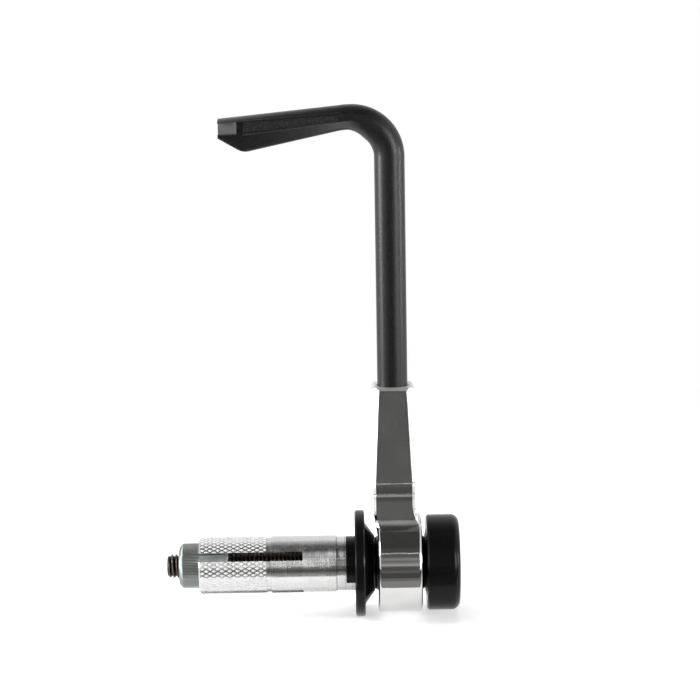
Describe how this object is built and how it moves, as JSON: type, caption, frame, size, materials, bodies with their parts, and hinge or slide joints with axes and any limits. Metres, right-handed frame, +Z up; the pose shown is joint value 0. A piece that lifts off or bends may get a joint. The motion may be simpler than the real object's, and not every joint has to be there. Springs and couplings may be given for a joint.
{
  "type": "lever guard",
  "caption": "Handlebar-end lever guard: slotted expanding plug, ball-seated tilting arm, bent guard rod with a hooked tip, and a round end cap over the clamp bolt.",
  "frame": {"origin": "where the handlebar's axis meets the plane of its open end, which is the bar side of the flange", "axes": "+X along the bar's axis and outwards, +Z up the arm from the bar, -Y towards the picture's camera"},
  "size_m": [0.0714, 0.026, 0.1251],
  "materials": {
    "sleeve_aluminium": "turned and knurled, bright",
    "black_anodised": "gloss black anodised",
    "nut_steel": "grey plated, finely serrated",
    "bolt_steel": "dark steel thread",
    "cap_anodised": "gloss black anodised",
    "arm_aluminium": "milled and polished",
    "rod_coating": "satin black coating with a fine grain"
  },
  "bodies": {
    "plug": {"expansion_sleeve": "sleeve_aluminium", "bar_flange": "black_anodised"},
    "bolt": {"clamp_bolt": "bolt_steel"},
    "nut": {"cone_nut": "nut_steel"},
    "cap": {"end_cap": "cap_anodised"},
    "arm": {"tilt_arm": "arm_aluminium", "guard_rod": "rod_coating"}
  },
  "joints": [
    {"name": "bolt_turn", "type": "hinge", "parent": "plug", "child": "bolt", "pos_m": [0, 0, 0], "axis": [1, 0, 0], "range_deg": [0, 1080]},
    {"name": "nut_slide", "type": "slide", "parent": "plug", "child": "nut", "axis": [-1, 0, 0], "range_m": [0, 0.003]},
    {"name": "arm_swing", "type": "hinge", "parent": "plug", "child": "cap", "pos_m": [0, 0, 0], "axis": [1, 0, 0], "continuous": true},
    {"name": "arm_tilt", "type": "hinge", "parent": "cap", "child": "arm", "pos_m": [0.01091, 0, 0], "axis": [0, 1, 0], "range_deg": [-5.75, 5.75]}
  ],
  "couplings": [
    {"joint": "nut_slide", "follows": "bolt_turn", "m_per_rad": 0.00015915}
  ]
}
